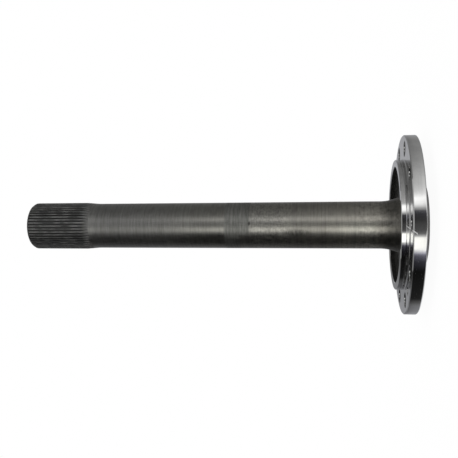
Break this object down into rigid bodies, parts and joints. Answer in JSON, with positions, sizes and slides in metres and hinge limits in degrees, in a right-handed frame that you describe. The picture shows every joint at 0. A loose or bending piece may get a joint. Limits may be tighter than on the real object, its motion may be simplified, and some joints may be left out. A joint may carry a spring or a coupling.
{
  "type": "axle shaft",
  "caption": "Flanged axle shaft: a turned steel half shaft with an involute spline at one end and, at the other, a hub flange with bolt holes, two jacking holes and a pilot ring.",
  "frame": {"origin": "centre of the outboard boss face, on which the shaft stands", "axes": "+Z along the shaft, from the boss towards the spline; +X and +Y lie in the boss face, +X runs through a jacking hole and +Y through a bolt hole"},
  "size_m": [0.22, 0.22, 0.51],
  "materials": {
    "turned_steel": "turned, oiled shaft with a bright machined flange"
  },
  "bodies": {
    "root": {"axle_shaft": "turned_steel"}
  },
  "joints": []
}
